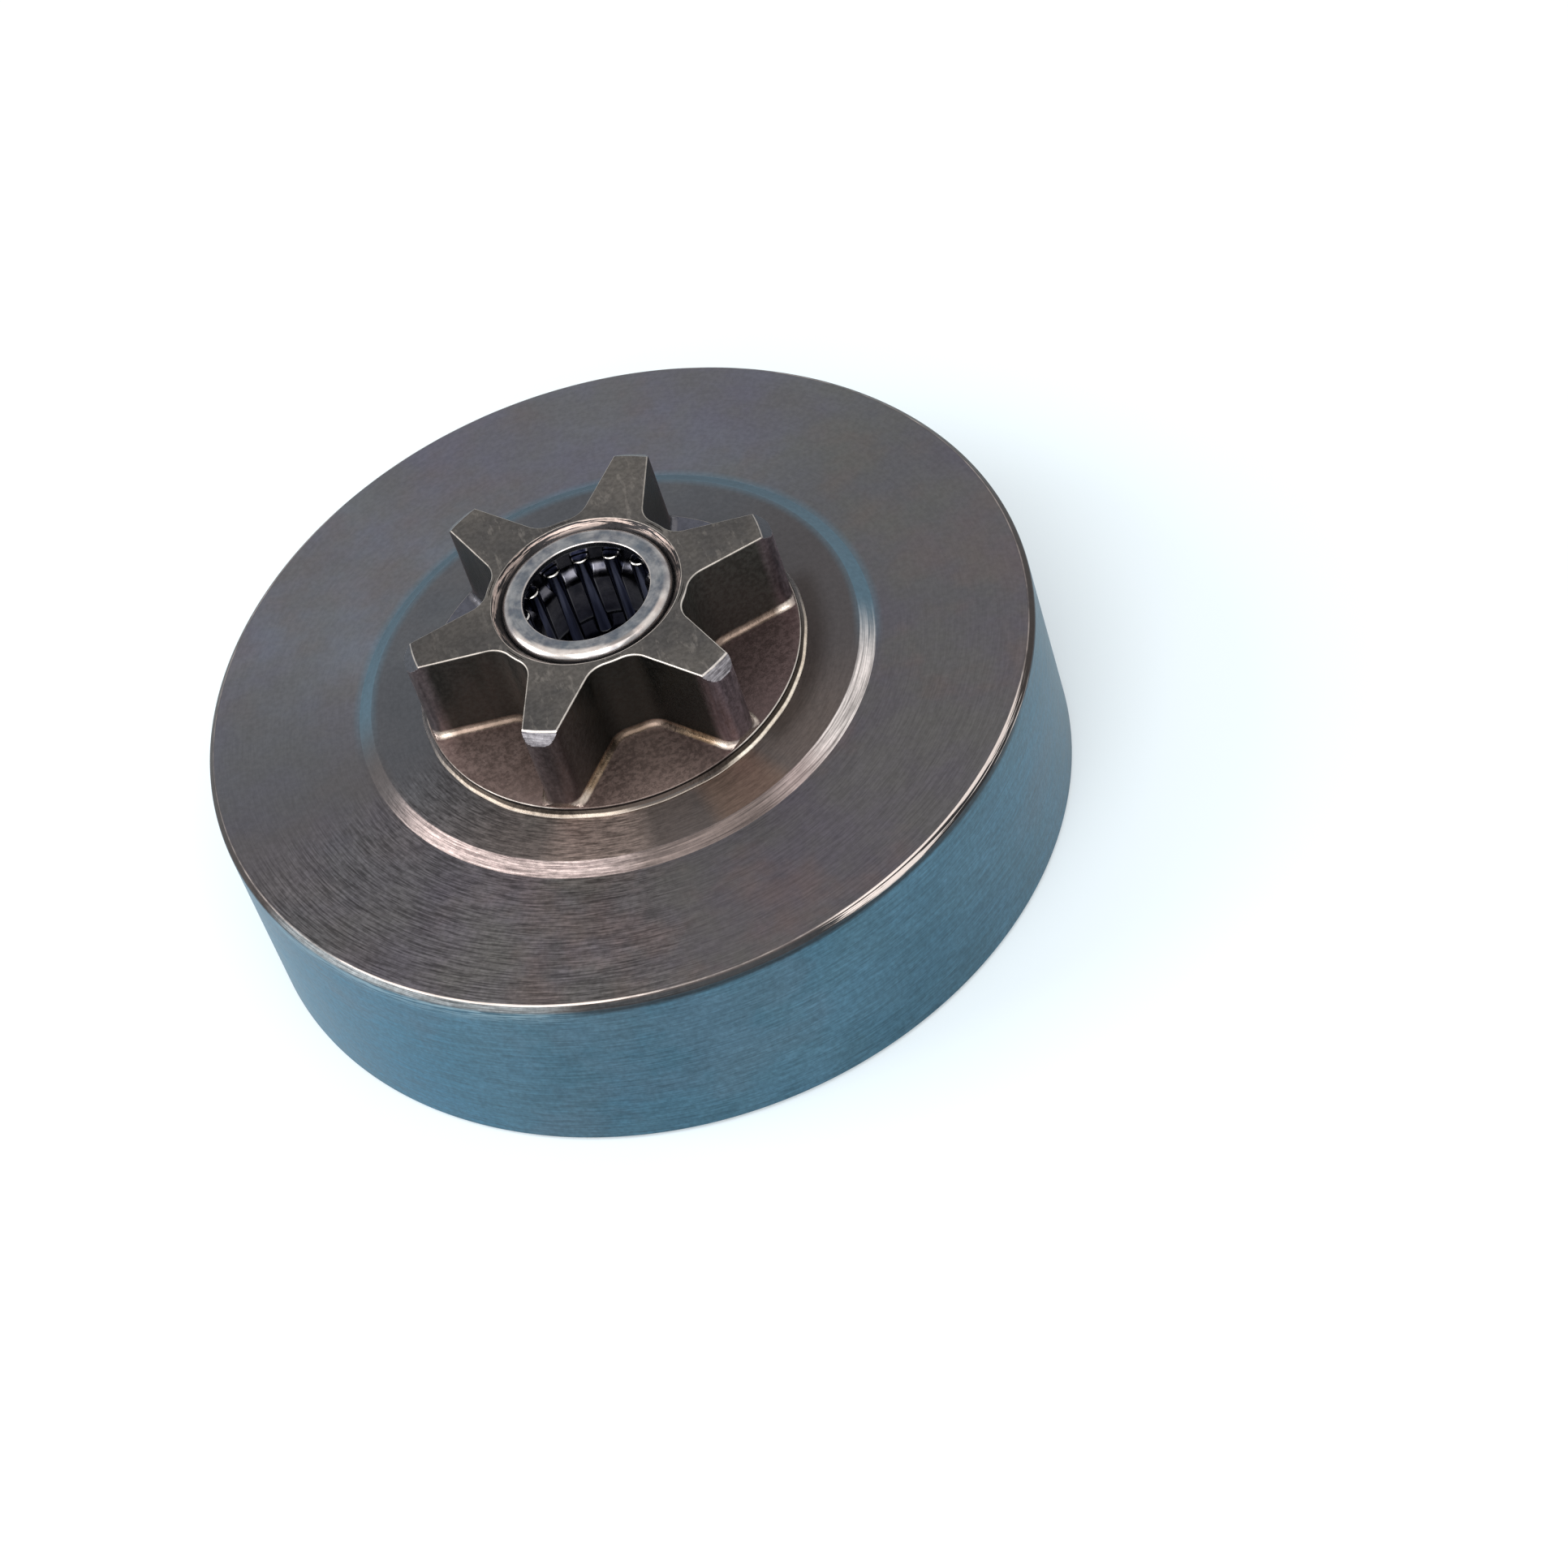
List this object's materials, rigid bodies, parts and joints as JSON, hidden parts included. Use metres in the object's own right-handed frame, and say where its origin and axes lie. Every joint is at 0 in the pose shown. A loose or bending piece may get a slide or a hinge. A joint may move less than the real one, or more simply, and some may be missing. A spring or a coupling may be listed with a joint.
{
  "type": "clutch drum",
  "caption": "Chainsaw clutch drum: a turned steel cup with a spur sprocket brazed to its face and a caged needle bearing in its bore.",
  "frame": {"origin": "centre of the open rim's plane, on the shaft axis", "axes": "+Z along the shaft axis from the open rim to the sprocket, +X through the middle of one tooth, +Y to the left of +X seen from above"},
  "size_m": [0.068, 0.068, 0.0265],
  "materials": {
    "drum_steel": "turned, oiled, brown-grey on the face and blue-grey on the wall",
    "sprocket_steel": "fine-grained, dark oxide with bright worn edges",
    "shell_steel": "polished",
    "cage_steel": "dark oiled sheet",
    "needle_steel": "ground and oiled"
  },
  "bodies": {
    "drum": {"drum_cup": "drum_steel", "sprocket": "sprocket_steel", "bearing_shell": "shell_steel"},
    "cage": {"needle_cage": "cage_steel"},
    "needle_01": {"needle_roller_01": "needle_steel"},
    "needle_02": {"needle_roller_02": "needle_steel"},
    "needle_03": {"needle_roller_03": "needle_steel"},
    "needle_04": {"needle_roller_04": "needle_steel"},
    "needle_05": {"needle_roller_05": "needle_steel"},
    "needle_06": {"needle_roller_06": "needle_steel"},
    "needle_07": {"needle_roller_07": "needle_steel"},
    "needle_08": {"needle_roller_08": "needle_steel"},
    "needle_09": {"needle_roller_09": "needle_steel"},
    "needle_10": {"needle_roller_10": "needle_steel"},
    "needle_11": {"needle_roller_11": "needle_steel"},
    "needle_12": {"needle_roller_12": "needle_steel"},
    "needle_13": {"needle_roller_13": "needle_steel"},
    "needle_14": {"needle_roller_14": "needle_steel"}
  },
  "joints": [
    {"name": "cage_spin", "type": "hinge", "parent": "drum", "child": "cage", "pos_m": [0, 0, 0.02045], "axis": [0, 0, 1], "continuous": true},
    {"name": "needle_spin_01", "type": "hinge", "parent": "cage", "child": "needle_01", "pos_m": [0.0057, 0.0008, 0.02045], "axis": [0, 0, 1], "continuous": true},
    {"name": "needle_spin_02", "type": "hinge", "parent": "cage", "child": "needle_02", "pos_m": [0.00479, 0.0032, 0.02045], "axis": [0, 0, 1], "continuous": true},
    {"name": "needle_spin_03", "type": "hinge", "parent": "cage", "child": "needle_03", "pos_m": [0.00293, 0.00496, 0.02045], "axis": [0, 0, 1], "continuous": true},
    {"name": "needle_spin_04", "type": "hinge", "parent": "cage", "child": "needle_04", "pos_m": [0.00049, 0.00574, 0.02045], "axis": [0, 0, 1], "continuous": true},
    {"name": "needle_spin_05", "type": "hinge", "parent": "cage", "child": "needle_05", "pos_m": [-0.00205, 0.00538, 0.02045], "axis": [0, 0, 1], "continuous": true},
    {"name": "needle_spin_06", "type": "hinge", "parent": "cage", "child": "needle_06", "pos_m": [-0.00418, 0.00396, 0.02045], "axis": [0, 0, 1], "continuous": true},
    {"name": "needle_spin_07", "type": "hinge", "parent": "cage", "child": "needle_07", "pos_m": [-0.00549, 0.00175, 0.02045], "axis": [0, 0, 1], "continuous": true},
    {"name": "needle_spin_08", "type": "hinge", "parent": "cage", "child": "needle_08", "pos_m": [-0.0057, -0.0008, 0.02045], "axis": [0, 0, 1], "continuous": true},
    {"name": "needle_spin_09", "type": "hinge", "parent": "cage", "child": "needle_09", "pos_m": [-0.00479, -0.0032, 0.02045], "axis": [0, 0, 1], "continuous": true},
    {"name": "needle_spin_10", "type": "hinge", "parent": "cage", "child": "needle_10", "pos_m": [-0.00293, -0.00496, 0.02045], "axis": [0, 0, 1], "continuous": true},
    {"name": "needle_spin_11", "type": "hinge", "parent": "cage", "child": "needle_11", "pos_m": [-0.00049, -0.00574, 0.02045], "axis": [0, 0, 1], "continuous": true},
    {"name": "needle_spin_12", "type": "hinge", "parent": "cage", "child": "needle_12", "pos_m": [0.00205, -0.00538, 0.02045], "axis": [0, 0, 1], "continuous": true},
    {"name": "needle_spin_13", "type": "hinge", "parent": "cage", "child": "needle_13", "pos_m": [0.00418, -0.00396, 0.02045], "axis": [0, 0, 1], "continuous": true},
    {"name": "needle_spin_14", "type": "hinge", "parent": "cage", "child": "needle_14", "pos_m": [0.00549, -0.00175, 0.02045], "axis": [0, 0, 1], "continuous": true}
  ],
  "couplings": [
    {"joint": "needle_spin_01", "follows": "cage_spin", "ratio": -8.68},
    {"joint": "needle_spin_02", "follows": "cage_spin", "ratio": -8.68},
    {"joint": "needle_spin_03", "follows": "cage_spin", "ratio": -8.68},
    {"joint": "needle_spin_04", "follows": "cage_spin", "ratio": -8.68},
    {"joint": "needle_spin_05", "follows": "cage_spin", "ratio": -8.68},
    {"joint": "needle_spin_06", "follows": "cage_spin", "ratio": -8.68},
    {"joint": "needle_spin_07", "follows": "cage_spin", "ratio": -8.68},
    {"joint": "needle_spin_08", "follows": "cage_spin", "ratio": -8.68},
    {"joint": "needle_spin_09", "follows": "cage_spin", "ratio": -8.68},
    {"joint": "needle_spin_10", "follows": "cage_spin", "ratio": -8.68},
    {"joint": "needle_spin_11", "follows": "cage_spin", "ratio": -8.68},
    {"joint": "needle_spin_12", "follows": "cage_spin", "ratio": -8.68},
    {"joint": "needle_spin_13", "follows": "cage_spin", "ratio": -8.68},
    {"joint": "needle_spin_14", "follows": "cage_spin", "ratio": -8.68}
  ]
}
